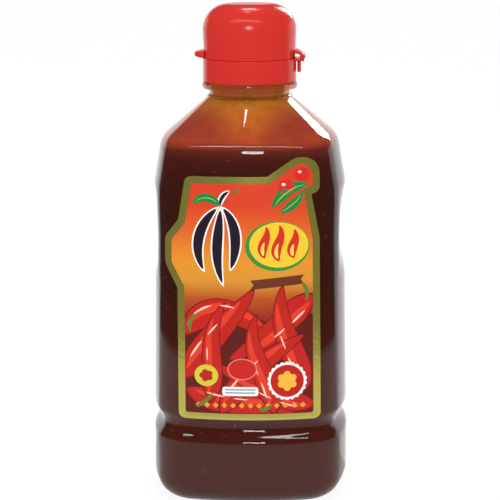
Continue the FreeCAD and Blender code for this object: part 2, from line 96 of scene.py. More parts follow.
def wall_measures(height):
    """Half width, half depth, corner radius and both crowns of the outside wall at a height."""
    inset, sink = 0.0, 0.0
    if height > RING_LOW:
        share = min((height - RING_LOW) / (RING_HIGH - RING_LOW), 1)
        pressed = ((1 - math.cos(2 * math.pi * share)) / 2) ** RING_FLATNESS
        inset = RING_DEPTH * pressed + PANEL_FOOT_INSET * share
    if height > RING_HIGH:
        share = min((height - RING_HIGH) / (WAIST_LOW - RING_HIGH), 1)
        inset = PANEL_FOOT_INSET + share * (PANEL_TOP_INSET - PANEL_FOOT_INSET)
    if WAIST_LOW < height < WAIST_HIGH:
        share = (height - WAIST_LOW) / (WAIST_HIGH - WAIST_LOW)
        if share < WAIST_DEEPEST:
            sink = math.sin(math.pi / 2 * (share / WAIST_DEEPEST) ** WAIST_FULLNESS) ** 2
        else:
            sink = math.cos(math.pi / 2 * (share - WAIST_DEEPEST) / (1 - WAIST_DEEPEST))
    crown_x = 1 / ((1 - sink) / BODY_CROWN + sink / WAIST_CROWN)
    wall = [HALF_WIDTH - sink * WAIST_DEPTH, HALF_DEPTH, BODY_CORNER, crown_x, BODY_CROWN]
    wall = [size - inset for size in wall]
    if height > WAIST_HIGH:
        share = (height - WAIST_HIGH) / (EDGE_HEIGHT - WAIST_HIGH)
        edge = [EDGE_HALF_WIDTH, EDGE_HALF_DEPTH, EDGE_CORNER, BODY_CROWN, BODY_CROWN]
        wall = [low + share * (high - low) for low, high in zip(wall, edge)]
    return wall


def between(low, high, steps):
    """Even steps from low up to high, without low itself."""
    return [low + (high - low) * step / steps for step in range(1, steps + 1)]


def body_rings(inset):
    """Rings of the blown form from its foot to the neck, drawn in by inset."""
    rings = []
    for step in range(HEEL_STEPS + 1):
        turn = math.pi / 2 * step / HEEL_STEPS
        drawn = inset + (HEEL_RADIUS - inset) * (1 - math.sin(turn))
        height = inset + (HEEL_RADIUS - inset) * (1 - math.cos(turn))
        rings.append(panel_ring(wall_measures(0), drawn, height))
    heights = between(HEEL_RADIUS, RING_LOW, FOOT_STEPS) + between(RING_LOW, RING_HIGH, RING_STEPS)
    heights += between(RING_HIGH, WAIST_LOW, PANEL_ROWS) + between(WAIST_LOW, WAIST_HIGH, WAIST_STEPS)
    rings += [panel_ring(wall_measures(height), inset, height) for height in heights]
    foot = rings[-1]
    edge = panel_ring(wall_measures(EDGE_HEIGHT), inset, EDGE_HEIGHT)
    radius = NECK_RADIUS if inset == 0 else NECK_BORE + WALL - inset
    root = [round_point(number, radius, ROOT_HEIGHT) for number in range(AROUND)]
    start, end = [], []
    for low, corner, high in zip(foot, edge, root):
        down, up = (low - corner).normalized(), (high - corner).normalized()
        reach = (EDGE_ROUND - inset) * math.tan((math.pi - down.angle(up)) / 2)
        start.append(corner + down * reach)
        end.append(corner + up * reach)
    for share in between(0, 1, TOP_STEPS):
        rings.append([low.lerp(high, share) for low, high in zip(foot, start)])
    for share in between(0, 1, EDGE_STEPS):
        rings.append([low.lerp(corner, share).lerp(corner.lerp(high, share), share)
                      for low, corner, high in zip(start, edge, end)])
    for share in between(0, 1, SHOULDER_STEPS):
        rings.append([low.lerp(high, share) for low, high in zip(end, root)])
    return rings


def round_point(number, radius, height):
    """A point of a round ring whose spacing follows the panels and corners of the body."""
    corner = math.radians(NECK_CORNER_TURN)
    quarter, place = divmod(number + PANEL_STEPS // 2, PANEL_STEPS + CORNER_STEPS)
    panel = math.pi / 2 - corner
    if place <= PANEL_STEPS:
        angle = panel * (place / PANEL_STEPS - 0.5)
    else:
        angle = panel / 2 + corner * (place - PANEL_STEPS) / CORNER_STEPS
    angle += quarter * math.pi / 2
    return Vector((radius * math.cos(angle), radius * math.sin(angle), height))


def round_rings(outline):
    """Round rings through the (radius, height) places of an outline."""
    return [[round_point(number, radius, height) for number in range(AROUND)]
            for radius, height in outline]


def skin(bm, rings):
    """Wrap a grid round the bottle so that its rows lie on the rings."""
    grid = bmesh.ops.create_grid(bm, x_segments=AROUND, y_segments=len(rings) - 1, size=1)["verts"]
    for number, vert in enumerate(grid):
        row, column = divmod(number, AROUND + 1)
        vert.co = rings[row][column % AROUND] * MM


def close_up(bm):
    """Weld the seams, close the open ends and turn every face outwards."""
    bmesh.ops.remove_doubles(bm, verts=bm.verts, dist=WELD * MM)
    bmesh.ops.holes_fill(bm, edges=[edge for edge in bm.edges if edge.is_boundary], sides=0)
    bmesh.ops.recalc_face_normals(bm, faces=bm.faces)


def finished(bm, name, material, body, crease=38):
    """The piece's object, shaded smooth but for edges sharper than the crease, riding its body."""
    mesh = bpy.data.meshes.new(name)
    bm.to_mesh(mesh)
    bm.free()
    mesh.shade_smooth()
    mesh.set_sharp_from_angle(angle=math.radians(crease))
    mesh.materials.append(material)
    piece = bpy.data.objects.new(name, mesh)
    bpy.context.scene.collection.objects.link(piece)
    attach(piece, body)
    return piece


def new_material(name):
    """A node material with its shader and its node tree."""
    material = bpy.data.materials.new(name)
    material.use_nodes = True
    tree = material.node_tree
    return material, tree, tree.nodes["Principled BSDF"]


def node(tree, kind, **settings):
    """A node with its properties and unlinked inputs set by name."""
    made = tree.nodes.new(kind)
    for key, setting in settings.items():
        if hasattr(made, key):
            setattr(made, key, setting)
        else:
            made.inputs[key.replace("_", " ").title()].default_value = setting
    return made


def rippled(tree, shader, scale, detail, strength, depth):
    """Give a finish the faint unevenness of a moulded or printed surface."""
    place = node(tree, "ShaderNodeTexCoord")
    ripple = node(tree, "ShaderNodeTexNoise", scale=scale, detail=detail)
    tree.links.new(place.outputs["Object"], ripple.inputs["Vector"])
    bump = node(tree, "ShaderNodeBump", strength=strength, distance=depth * MM)
    tree.links.new(ripple.outputs["Fac"], bump.inputs["Height"])
    tree.links.new(bump.outputs["Normal"], shader.inputs["Normal"])


NECK_OUTSIDE = [
    (NECK_RADIUS, BEAD_LOW - 0.4), (BEAD_RADIUS, BEAD_LOW), (BEAD_RADIUS + 0.1, BEAD_LOW + 0.3),
    (BEAD_RADIUS - 0.1, BEAD_HIGH - 0.2), (NECK_RADIUS + 0.4, BEAD_HIGH), (NECK_RADIUS, BEAD_HIGH + 0.3),
    (NECK_RADIUS, FLANGE_LOW - 0.5), (NECK_RADIUS + 0.5, FLANGE_LOW),
    (FLANGE_RADIUS - FLANGE_BEVEL, FLANGE_LOW), (FLANGE_RADIUS - 0.15, FLANGE_LOW + 0.2),
    (FLANGE_RADIUS, FLANGE_LOW + FLANGE_BEVEL), (FLANGE_RADIUS, FLANGE_HIGH - FLANGE_BEVEL),
    (FLANGE_RADIUS - 0.15, FLANGE_HIGH - 0.2), (FLANGE_RADIUS - FLANGE_BEVEL, FLANGE_HIGH),
    (NECK_RADIUS, FLANGE_HIGH), (NECK_RADIUS, FINISH_TOP),
]
NECK_INSIDE = [(NECK_BORE, BORE_LOW), (NECK_BORE, FINISH_TOP)]
clear_plastic, tree, shader = new_material("clear_pet")
shader.inputs["Base Color"].default_value = (0.98, 0.97, 0.95, 1)
shader.inputs["Transmission Weight"].default_value = 1
shader.inputs["Roughness"].default_value = 0.03
shader.inputs["IOR"].default_value = 1.5
rippled(tree, shader, scale=90, detail=2, strength=0.25, depth=0.06)
bm = bmesh.new()
outside = body_rings(0) + round_rings(NECK_OUTSIDE)
inside = body_rings(WALL) + round_rings(NECK_INSIDE)
skin(bm, outside + inside[::-1])
close_up(bm)
bottle = finished(bm, "bottle_wall", clear_plastic, "filled_bottle")
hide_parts("bottle")

# Sauce: one body of thick chilli sauce, poured in up to the shoulder.
# It reaches halfway into the wall, so that no air shows between the two.
SAUCE_LEVEL, SAUCE_REACH = 124.4, 0.3
# The sauce's dark red-brown with painted light: lighter up to its surface, where light comes down
# through it, and lighter towards the foot.
SAUCE_COLOUR_AND_PAINTED_LIGHT = [
    # height, colour
    (0, (98, 36, 22)), (50, (92, 33, 20)), (80, (76, 29, 18)), (112, (80, 30, 18)),
    (117, (86, 31, 20)), (121, (96, 35, 25)), (SAUCE_LEVEL, (128, 52, 36)),
]
FLECK_COLOUR = (170, 84, 50)


def paint(colour):
    """A shader colour from eye-matched red, green and blue of 0 to 255."""
    shares = [part / 255 for part in colour]
    return [share / 12.92 if share <= 0.04045 else ((share + 0.055) / 1.055) ** 2.4
            for share in shares] + [1]


def fade(tree, stops, low, high):
    """A colour that follows the height in millimetres, through rising (height, colour) stops."""
    place = node(tree, "ShaderNodeTexCoord")
    parts = node(tree, "ShaderNodeSeparateXYZ")
    tree.links.new(place.outputs["Object"], parts.inputs["Vector"])
    share = node(tree, "ShaderNodeMapRange", from_min=low * MM, from_max=high * MM)
    tree.links.new(parts.outputs["Z"], share.inputs["Value"])
    tones = node(tree, "ShaderNodeValToRGB")
    tree.links.new(share.outputs["Result"], tones.inputs["Fac"])
    elements = tones.color_ramp.elements
    elements.remove(elements[1])
    elements[0].color = paint(stops[0][1])
    for height, colour in stops[1:]:
        elements.new((height - low) / (high - low)).color = paint(colour)
    return tones.outputs["Color"]


chilli_sauce, tree, shader = new_material("chilli_sauce")
place = node(tree, "ShaderNodeTexCoord")
grain = node(tree, "ShaderNodeTexVoronoi", scale=900, feature="F1")
tree.links.new(place.outputs["Object"], grain.inputs["Vector"])
flake = node(tree, "ShaderNodeMapRange", from_min=0.12, from_max=0.3, to_min=1, to_max=0)
tree.links.new(grain.outputs["Distance"], flake.inputs["Value"])
rare = node(tree, "ShaderNodeTexNoise", scale=260, detail=1)
tree.links.new(place.outputs["Object"], rare.inputs["Vector"])
few = node(tree, "ShaderNodeMapRange", from_min=0.62, from_max=0.7)
tree.links.new(rare.outputs["Fac"], few.inputs["Value"])
flecks = node(tree, "ShaderNodeMath", operation="MULTIPLY")
tree.links.new(flake.outputs["Result"], flecks.inputs[0])
tree.links.new(few.outputs["Result"], flecks.inputs[1])
mixed = node(tree, "ShaderNodeMix", data_type="RGBA")
tree.links.new(flecks.outputs["Value"], mixed.inputs["Factor"])
# Painted light: the sauce's colour by height, lighter near its surface.
tree.links.new(fade(tree, SAUCE_COLOUR_AND_PAINTED_LIGHT, 0, 130), mixed.inputs["A"])
mixed.inputs["B"].default_value = paint(FLECK_COLOUR)
tree.links.new(mixed.outputs["Result"], shader.inputs["Base Color"])
shader.inputs["Roughness"].default_value = 0.5
shader.inputs["Specular IOR Level"].default_value = 0
bm = bmesh.new()
skin(bm, body_rings(SAUCE_REACH))
close_up(bm)
bmesh.ops.bisect_plane(bm, geom=bm.verts[:] + bm.edges[:] + bm.faces[:], clear_outer=True,
                       plane_co=(0, 0, SAUCE_LEVEL * MM), plane_no=(0, 0, 1))
close_up(bm)
sauce = finished(bm, "sauce", chilli_sauce, "filled_bottle")
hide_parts("sauce")

# Sauce film: what clings to the inside of the shoulder and neck above the sauce, after the bottle was
# tipped. It is thin in the middle of each side, where it lets light through near the neck. Its colour
# holds painted light: a painted amber glow in the middle of each side, and painted shade, darker and
# redder, towards the corners.
FILM_OUT, FILM_IN, FILM_LOW, FILM_TOP, FILM_LAP = 0.45, 0.8, 124, 149, 0.3
# Painted shade: the film's colour by height near the corners, darker and redder than in the middle.
FILM_CORNER_SHADE = [
    (FILM_LOW, (104, 38, 28)), (125, (165, 58, 38)), (127, (205, 84, 50)), (134, (196, 80, 50)),
    (140, (168, 60, 46)), (FILM_TOP, (226, 80, 50)),
]
# Painted glow: the film's colour by height in the middle of each side, brightest from 134 to 139 mm.
FILM_MIDDLE_GLOW = [
    (FILM_LOW, (104, 38, 28)), (125, (170, 62, 38)), (127, (222, 100, 50)), (134, (250, 144, 46)),
    (139, (255, 174, 56)), (143, (250, 116, 56)), (FILM_TOP, (255, 106, 66)),
]
FILM_CLEARNESS = [
    # height, grey from 0, solid, to 255, clear
    (height, (grey, grey, grey))
    for height, grey in ((FILM_LOW, 0), (130, 0), (135, 50), (139, 105), (143, 165), (FILM_TOP, 165))
]
RUN_COLOUR, FILM_TINT = (160, 62, 36), (1, 0.6, 0.3, 1)
# How near a corner a place is, as its distances from both middle planes multiplied, in square metres.
SHADE_START, SHADE_END, CLEAR_START, CLEAR_END = 0.00003, 0.00034, 0.00002, 0.00013
sauce_film, tree, shader = new_material("sauce_film")
place = node(tree, "ShaderNodeTexCoord")
stretched = node(tree, "ShaderNodeMapping")
stretched.inputs["Scale"].default_value = (260, 260, 60)
tree.links.new(place.outputs["Object"], stretched.inputs["Vector"])
runs = node(tree, "ShaderNodeTexNoise", scale=1, detail=3)
tree.links.new(stretched.outputs["Vector"], runs.inputs["Vector"])
streaks = node(tree, "ShaderNodeMapRange", from_min=0.35, from_max=0.7, to_min=0, to_max=0.3)
tree.links.new(runs.outputs["Fac"], streaks.inputs["Value"])
parts = node(tree, "ShaderNodeSeparateXYZ")
tree.links.new(place.outputs["Object"], parts.inputs["Vector"])
across = node(tree, "ShaderNodeMath", operation="MULTIPLY")
tree.links.new(parts.outputs["X"], across.inputs[0])
tree.links.new(parts.outputs["Y"], across.inputs[1])
corner = node(tree, "ShaderNodeMath", operation="ABSOLUTE")
tree.links.new(across.outputs["Value"], corner.inputs[0])
# Painted shade: towards the corners the film's colour turns from the painted glow to the darker, redder
# shade.
corner_shade = node(tree, "ShaderNodeMapRange", from_min=SHADE_START, from_max=SHADE_END,
              interpolation_type="SMOOTHSTEP")
tree.links.new(corner.outputs["Value"], corner_shade.inputs["Value"])
depth = node(tree, "ShaderNodeMix", data_type="RGBA")
tree.links.new(corner_shade.outputs["Result"], depth.inputs["Factor"])
tree.links.new(fade(tree, FILM_MIDDLE_GLOW, FILM_LOW, FILM_TOP), depth.inputs["A"])
tree.links.new(fade(tree, FILM_CORNER_SHADE, FILM_LOW, FILM_TOP), depth.inputs["B"])
mixed = node(tree, "ShaderNodeMix", data_type="RGBA")
tree.links.new(streaks.outputs["Result"], mixed.inputs["Factor"])
tree.links.new(depth.outputs["Result"], mixed.inputs["A"])
mixed.inputs["B"].default_value = paint(RUN_COLOUR)
tree.links.new(mixed.outputs["Result"], shader.inputs["Base Color"])
shader.inputs["Roughness"].default_value = 0.4
shader.inputs["Specular IOR Level"].default_value = 0.1
thinness = node(tree, "ShaderNodeMapRange", from_min=CLEAR_START, from_max=CLEAR_END, to_min=1,
                to_max=0.3)
tree.links.new(corner.outputs["Value"], thinness.inputs["Value"])
clearness = node(tree, "ShaderNodeMath", operation="MULTIPLY")
tree.links.new(thinness.outputs["Result"], clearness.inputs[0])
tree.links.new(fade(tree, FILM_CLEARNESS, FILM_LOW, FILM_TOP), clearness.inputs[1])
tinted = node(tree, "ShaderNodeBsdfTransparent")
tinted.inputs["Color"].default_value = FILM_TINT
thin = node(tree, "ShaderNodeMixShader")
tree.links.new(clearness.outputs["Value"], thin.inputs["Fac"])
tree.links.new(shader.outputs["BSDF"], thin.inputs[1])
tree.links.new(tinted.outputs["BSDF"], thin.inputs[2])
# A face seen from its back is clear, so that light is tinted once for each layer it crosses.
passed = node(tree, "ShaderNodeBsdfTransparent")
side = node(tree, "ShaderNodeNewGeometry")
once = node(tree, "ShaderNodeMixShader")
tree.links.new(side.outputs["Backfacing"], once.inputs["Fac"])
tree.links.new(thin.outputs["Shader"], once.inputs[1])
tree.links.new(passed.outputs["BSDF"], once.inputs[2])
tree.links.new(once.outputs["Shader"], tree.nodes["Material Output"].inputs["Surface"])
bm = bmesh.new()
outer, inner = (
    body_rings(inset) + round_rings([(NECK_BORE + WALL - inset, end) for end in (BORE_LOW, FILM_TOP)])
    for inset in (FILM_OUT, FILM_IN))
skin(bm, outer + inner[::-1])
close_up(bm)
bmesh.ops.bisect_plane(bm, geom=bm.verts[:] + bm.edges[:] + bm.faces[:], clear_inner=True,
                       plane_co=(0, 0, (SAUCE_LEVEL - FILM_LAP) * MM), plane_no=(0, 0, 1))
bmesh.ops.bridge_loops(bm, edges=[edge for edge in bm.edges if edge.is_boundary])
bmesh.ops.recalc_face_normals(bm, faces=bm.faces)
film = finished(bm, "sauce_film", sauce_film, "filled_bottle")

# Cap base: moulded red polypropylene, clipped over the neck's flange. It carries the deck with its
# spout, and on the right the bracket and the hanging leg of the hinge. The skirt, deck and sealing
# ring are one turned outline, given as (radius, height, rounding) corners.
CAP_RADIUS, CAP_WALL, SEAM, COLLAR_RADIUS, DECK = 16.3, 1.4, 153.2, 14.5, 154.0
SPOUT_FOOT, SPOUT_TIP, SPOUT_BORE, SPOUT_TOP = 3.4, 3.0, 1.6, 159.5
SEAL_OUTSIDE, SEAL_INSIDE, SEAL_LOW = 12.4, 11.2, 148.3
HINGE_X, HINGE_Z, HINGE_ROOT, HINGE_WIDTH = 18.5, 153.9, 15.5, 9.0
KNUCKLE, KNUCKLE_GAP = 1.0, 0.06
SKIRT_OUTLINE = [
    (CAP_RADIUS, FLANGE_HIGH, 0.3), (CAP_RADIUS, SEAM, 0.2), (COLLAR_RADIUS, SEAM, 0),
    (COLLAR_RADIUS, DECK, 0.2), (SPOUT_FOOT, DECK, 0.5), (SPOUT_TIP, SPOUT_TOP, 0.35),
    (SPOUT_BORE, SPOUT_TOP, 0.25), (SPOUT_BORE, FINISH_TOP, 0), (SEAL_INSIDE, FINISH_TOP, 0),
    (SEAL_INSIDE, SEAL_LOW, 0.2), (SEAL_OUTSIDE, SEAL_LOW, 0.3), (SEAL_OUTSIDE, FINISH_TOP, 0),
    (CAP_RADIUS - CAP_WALL, FINISH_TOP, 0), (CAP_RADIUS - CAP_WALL, FLANGE_HIGH, 0.2),
]
BRACKET_LOW, BRACKET_REACH, BRACKET_BEVEL, CRADLE_LIP, CRADLE_STEPS = 152.3, 19.1, 0.12, 0.25, 8
LEG_NEAR, LEG_FAR, LEG_LOW, LEG_WIDTH, LEG_LAP = 16.65, 17.95, 148.3, 5.0, 0.1
LEG_ROUND, LEG_BEVEL = 0.6, 0.15
ROUND_STEPS, ROUND_SUPPORT, SLAB_SEGMENTS, SHARP = 4, 0.15, 3, math.radians(30)
CAP_RED = (200, 44, 36)


def rounded(outline):
    """An outline's points, with each corner that has a radius turned into an arc.

    A point just outside each end of an arc keeps the flat beside it flat when it is shaded.
    """
    points = []
    for number, (x, z, radius) in enumerate(outline):
        corner = Vector((x, z))
        if radius == 0:
            points.append(corner)
            continue
        before = Vector(outline[number - 1][:2])
        after = Vector(outline[(number + 1) % len(outline)][:2])
        back, on = (before - corner).normalized(), (after - corner).normalized()
        half_angle = back.angle(on) / 2
        centre = corner + (back + on).normalized() * radius / math.sin(half_angle)
        start = corner + back * radius / math.tan(half_angle) - centre
        end = corner + on * radius / math.tan(half_angle) - centre
        points.append(centre + start + back * ROUND_SUPPORT * radius)
        for step in range(ROUND_STEPS + 1):
            points.append(centre + start.slerp(end, step / ROUND_STEPS) * radius)
        points.append(centre + end + on * ROUND_SUPPORT * radius)
    return points


def outline_edges(bm, points, y=0.0):
    """A closed loop of edges through points of the XZ plane."""
    verts = [bm.verts.new((x * MM, y * MM, z * MM)) for x, z in points]
    return verts, [bm.edges.new((verts[i - 1], verts[i])) for i in range(len(verts))]


def turned(bm, points, steps=120):
    """Spin a closed outline once round the bottle's axis."""
    verts, edges = outline_edges(bm, points)
    bmesh.ops.spin(bm, geom=verts + edges, cent=(0, 0, 0), axis=(0, 0, 1), angle=2 * math.pi,
                   steps=steps, use_merge=True)
    bmesh.ops.remove_doubles(bm, verts=bm.verts, dist=WELD * MM)
    bmesh.ops.recalc_face_normals(bm, faces=bm.faces)


def slab(bm, points, width, bevel):
    """A bevelled slab that runs front to back, whose ends are a closed outline in the XZ plane."""
    piece = bmesh.new()
    verts, _ = outline_edges(piece, points, -width / 2)
    face = piece.faces.new(verts)
    extruded = bmesh.ops.extrude_face_region(piece, geom=[face])["geom"]
    moved = [item for item in extruded if isinstance(item, bmesh.types.BMVert)]
    bmesh.ops.translate(piece, vec=(0, width * MM, 0), verts=moved)
    soften(piece, bevel, SLAB_SEGMENTS)
    add_to(bm, piece)


def soften(piece, bevel, segments):
    """Turn the faces outwards and bevel the sharp edges."""
    bmesh.ops.recalc_face_normals(piece, faces=piece.faces)
    edges = [edge for edge in piece.edges if edge.calc_face_angle(0) > SHARP]
    bmesh.ops.bevel(piece, geom=edges, offset=bevel * MM, segments=segments, profile=0.5, affect="EDGES",
                    material=-1)


def add_to(bm, piece):
    """Put one mesh into another as it stands."""
    shape = bpy.data.meshes.new("part")
    piece.to_mesh(shape)
    piece.free()
    bm.from_mesh(shape)
    bpy.data.meshes.remove(shape)


def arc_points(x, z, radius, start, end, steps):
    """Points on an arc about a centre, between two angles in degrees."""
    turns = [math.radians(start + (end - start) * step / steps) for step in range(steps + 1)]
    return [(x + radius * math.cos(turn), z + radius * math.sin(turn)) for turn in turns]


red_plastic, tree, shader = new_material("red_polypropylene")
shader.inputs["Base Color"].default_value = paint(CAP_RED)
shader.inputs["Roughness"].default_value = 0.2
shader.inputs["Specular IOR Level"].default_value = 0.35
shader.inputs["Subsurface Weight"].default_value = 0.15
shader.inputs["Subsurface Radius"].default_value = (1, 0.25, 0.15)
shader.inputs["Subsurface Scale"].default_value = 0.0012
rippled(tree, shader, scale=220, detail=3, strength=0.3, depth=0.03)
bm = bmesh.new()
turned(bm, rounded(SKIRT_OUTLINE))
cradle = KNUCKLE + KNUCKLE_GAP
near_lip = math.degrees(math.asin((HINGE_Z - SEAM) / cradle)) - 180
far_lip = math.degrees(math.atan2(SEAM - CRADLE_LIP - HINGE_Z, BRACKET_REACH - HINGE_X))
bracket = [(HINGE_ROOT, BRACKET_LOW), (BRACKET_REACH, BRACKET_LOW)]
bracket += arc_points(HINGE_X, HINGE_Z, cradle, far_lip, near_lip, CRADLE_STEPS)
slab(bm, bracket + [(HINGE_ROOT, SEAM)], HINGE_WIDTH, BRACKET_BEVEL)
leg = rounded([(LEG_NEAR, LEG_LOW, LEG_ROUND), (LEG_FAR, LEG_LOW, LEG_ROUND),
               (LEG_FAR, SEAM - LEG_LAP, 0), (LEG_NEAR, SEAM - LEG_LAP, 0)])
slab(bm, leg, LEG_WIDTH, LEG_BEVEL)
cap_base = finished(bm, "cap_base_moulding", red_plastic, "filled_bottle")
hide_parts("cap_base")

# Lid: the same red plastic, a hollow dome that snaps down on the deck, with a sleeve inside it that
# goes over the spout. The thumb tab is on the left and a strap with the hinge's knuckle on the right.
LID_TOP, LID_CROWN, LID_ROUND, LID_LOW, LID_INSIDE = 172.3, 1.0, 8.9, 153.26, 14.9
CEILING, CEILING_BEVEL, SLEEVE_OUTSIDE, SLEEVE_BORE, SLEEVE_LOW = 169.9, 5.2, 4.8, 3.9, 157.1
TAB_ROOT, TAB_REACH, TAB_HALF_WIDTH, TAB_CORNER = 15.5, 19.1, 5.0, 2.4
TAB_LOW, TAB_RISE, TAB_HIGH, TAB_DROP = 153.26, 0.74, 156.1, 0.6
TAB_BEVEL, TAB_SEGMENTS, TAB_STEPS, STRAP_BEVEL, KNUCKLE_BEVEL = 0.35, 4, 8, 0.15, 0.1
KNUCKLE_STEPS, CROWN_STEPS, DOME_STEPS, DOME_SUPPORT = 23, 10, 28, 0.3
STRAP_OUTLINE = [
    (HINGE_ROOT, 156.3), (17.2, 156.0), (19.1, 154.7), (17.9, 154.5), (17.2, 154.7), (HINGE_ROOT, 155.0),
]
crown_radius = (CAP_RADIUS ** 2 + LID_CROWN ** 2) / (2 * LID_CROWN)
crown_centre = LID_TOP - crown_radius
round_x = CAP_RADIUS - LID_ROUND
round_z = crown_centre + math.sqrt((crown_radius - LID_ROUND) ** 2 - round_x ** 2)
turn = math.degrees(math.atan2(round_z - crown_centre, round_x))
dome = arc_points(0, crown_centre, crown_radius, 90, turn, CROWN_STEPS)[:-1]
dome += arc_points(round_x, round_z, LID_ROUND, turn, 0, DOME_STEPS)
dome += [(CAP_RADIUS, round_z - DOME_SUPPORT)]
dome += [tuple(point) for point in rounded([
    (CAP_RADIUS, LID_LOW, 0.2), (LID_INSIDE, LID_LOW, 0.2), (LID_INSIDE, CEILING - CEILING_BEVEL, 0),
    (LID_INSIDE - CEILING_BEVEL, CEILING, 0), (SLEEVE_OUTSIDE, CEILING, 0),
    (SLEEVE_OUTSIDE, SLEEVE_LOW, 0.2), (SLEEVE_BORE, SLEEVE_LOW, 0.2), (SLEEVE_BORE, CEILING, 0),
    (0, CEILING, 0)])]
bm = bmesh.new()
turned(bm, dome)
tip = [(-TAB_ROOT, -TAB_HALF_WIDTH)]
corner_x, corner_y = TAB_CORNER - TAB_REACH, TAB_HALF_WIDTH - TAB_CORNER
tip += arc_points(corner_x, -corner_y, TAB_CORNER, 270, 180, TAB_STEPS)
tip += arc_points(corner_x, corner_y, TAB_CORNER, 180, 90, TAB_STEPS)
tip += [(-TAB_ROOT, TAB_HALF_WIDTH)]
tab = bmesh.new()
face = tab.faces.new([tab.verts.new((x * MM, y * MM, 0)) for x, y in tip])
bmesh.ops.extrude_face_region(tab, geom=[face])
high = set(face.verts)
for vert in tab.verts:
    out = (-vert.co.x / MM - TAB_ROOT) / (TAB_REACH - TAB_ROOT)
    rise = TAB_HIGH - TAB_DROP * out if vert in high else TAB_LOW + TAB_RISE * out
    vert.co.z = rise * MM
soften(tab, TAB_BEVEL, TAB_SEGMENTS)
add_to(bm, tab)
slab(bm, STRAP_OUTLINE, HINGE_WIDTH, STRAP_BEVEL)
knuckle = arc_points(HINGE_X, HINGE_Z, KNUCKLE, 0, 360, KNUCKLE_STEPS + 1)[:-1]
slab(bm, knuckle, HINGE_WIDTH, KNUCKLE_BEVEL)
lid = finished(bm, "cap_lid_moulding", red_plastic, "lid")
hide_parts("cap_lid")

# Label: a die-cut, laminated paper sticker with a gold foil border, stuck round the front panel. Its
# outlines are (across, height, rounding) corners. The print is thin layers of ink, one above another:
# a warm field with a sun disc, chillies, leaves and plain badges, and no words.
LABEL_THICKNESS, FIELD_LIFT, INK = 0.06, 0.01, 0.0025
FACET_WIDTH, FACET_HEIGHT = 0.5, 2.0
PRINT_LEFT, PRINT_RIGHT, PRINT_LOW = -21.4, 22.4, 33.8
GOLD = (216, 204, 100)
LABEL_OUTLINE = [
    (-24.0, 31.2, 2.4), (25.15, 31.2, 2.4), (24.6, 94.8, 5.4), (21.8, 109.8, 0.5), (24.65, 110.9, 2.4),
    (24.4, 122.3, 5.4), (16.4, 122.3, 5.4), (6.8, 115.9, 0.5), (-21.0, 115.9, 2.4), (-23.5, 100.9, 0.5),
    (-28.4, 94.5, 5.4), (-28.4, 85.4, 5.4), (-24.0, 77.1, 0.5),
]
FIELD_OUTLINE = [
    (-21.6, 33.6, 1.0), (22.7, 33.6, 1.0), (22.2, 94.6, 3.5), (19.0, 111.6, 0.4), (22.2, 112.9, 1.4),
    (21.9, 119.9, 3.6), (17.1, 119.9, 3.4), (7.6, 113.5, 0.8), (-18.8, 113.5, 0.6), (-21.2, 99.7, 0.8),
    (-26.0, 93.8, 3.6), (-26.0, 86.0, 3.6), (-21.6, 77.8, 0.8),
]


def front_of(x, height):
    """How far in front of the axis the bottle's wall stands at a place on its front."""
    half_x, half_y, corner, crown_x, crown_y = wall_measures(height)
    cx, cy = corner_centre(half_x, half_y, corner, crown_x, crown_y)
    if abs(x) < cx * crown_y / (crown_y - corner):
        return half_y - crown_y + math.sqrt(crown_y ** 2 - x ** 2)
    return cy + math.sqrt(corner ** 2 - (abs(x) - cx) ** 2)


def patch(points, lift):
    """A sheet with an outline given in the XZ plane, laid over the bottle's front, lifted off it."""
    sheet = bmesh.new()
    verts, edges = outline_edges(sheet, points)
    bmesh.ops.triangle_fill(sheet, edges=edges, use_beauty=True)
    for axis, size in ((0, FACET_WIDTH), (2, FACET_HEIGHT)):
        places = [vert.co[axis] / MM for vert in verts]
        normal = Vector((axis == 0, 0, axis == 2))
        for step in range(math.ceil(min(places) / size), math.floor(max(places) / size) + 1):
            bmesh.ops.bisect_plane(sheet, geom=sheet.verts[:] + sheet.edges[:] + sheet.faces[:],
                                   plane_co=normal * step * size * MM, plane_no=normal,
                                   dist=WELD / 2 * MM)
    for vert in sheet.verts:
        vert.co.y = -(front_of(vert.co.x / MM, vert.co.z / MM) + lift) * MM
    for face in sheet.faces:
        face.normal_update()
    bmesh.ops.reverse_faces(sheet, faces=[face for face in sheet.faces if face.normal.y > 0])
    return sheet


def laminate(shader):
    """Give a colour of the print the soft gloss of its laminate."""
    shader.inputs["Roughness"].default_value = 0.25
    shader.inputs["Specular IOR Level"].default_value = 0.25


gold_foil, tree, shader = new_material("gold_foil")
shader.inputs["Base Color"].default_value = paint(GOLD)
shader.inputs["Metallic"].default_value = 0.85
shader.inputs["Roughness"].default_value = 0.16
rippled(tree, shader, scale=700, detail=2, strength=0.5, depth=0.06)
backing = patch(rounded(LABEL_OUTLINE), LABEL_THICKNESS)
solid = bmesh.ops.extrude_face_region(backing, geom=backing.faces[:])["geom"]
front = {item for item in solid if isinstance(item, bmesh.types.BMVert)}
for vert in backing.verts:
    if vert not in front:
        vert.co.y += LABEL_THICKNESS * MM
bmesh.ops.recalc_face_normals(backing, faces=backing.faces)
label = finished(backing, "label_foil", gold_foil, "filled_bottle")
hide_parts("label")
FIELD_TONES = [
    # height, colour
    (30, (150, 40, 28)), (68, (150, 44, 26)), (74, (176, 78, 28)), (80, (206, 140, 46)),
    (87, (218, 140, 40)), (96, (214, 100, 34)), (106, (208, 62, 32)), (123, (206, 52, 30)),
]
field_print, tree, shader = new_material("field_print")
tree.links.new(fade(tree, FIELD_TONES, 30, 130), shader.inputs["Base Color"])
laminate(shader)
field = patch(rounded(FIELD_OUTLINE), LABEL_THICKNESS + FIELD_LIFT)
field = finished(field, "label_field", field_print, "filled_bottle")


def along(spine, share):
    """A place on the cubic curve through four control points."""
    a, b, c, d = (Vector(point) for point in spine)
    rest = 1 - share
    return a * rest ** 3 + b * 3 * rest ** 2 * share + c * 3 * rest * share ** 2 + d * share ** 3


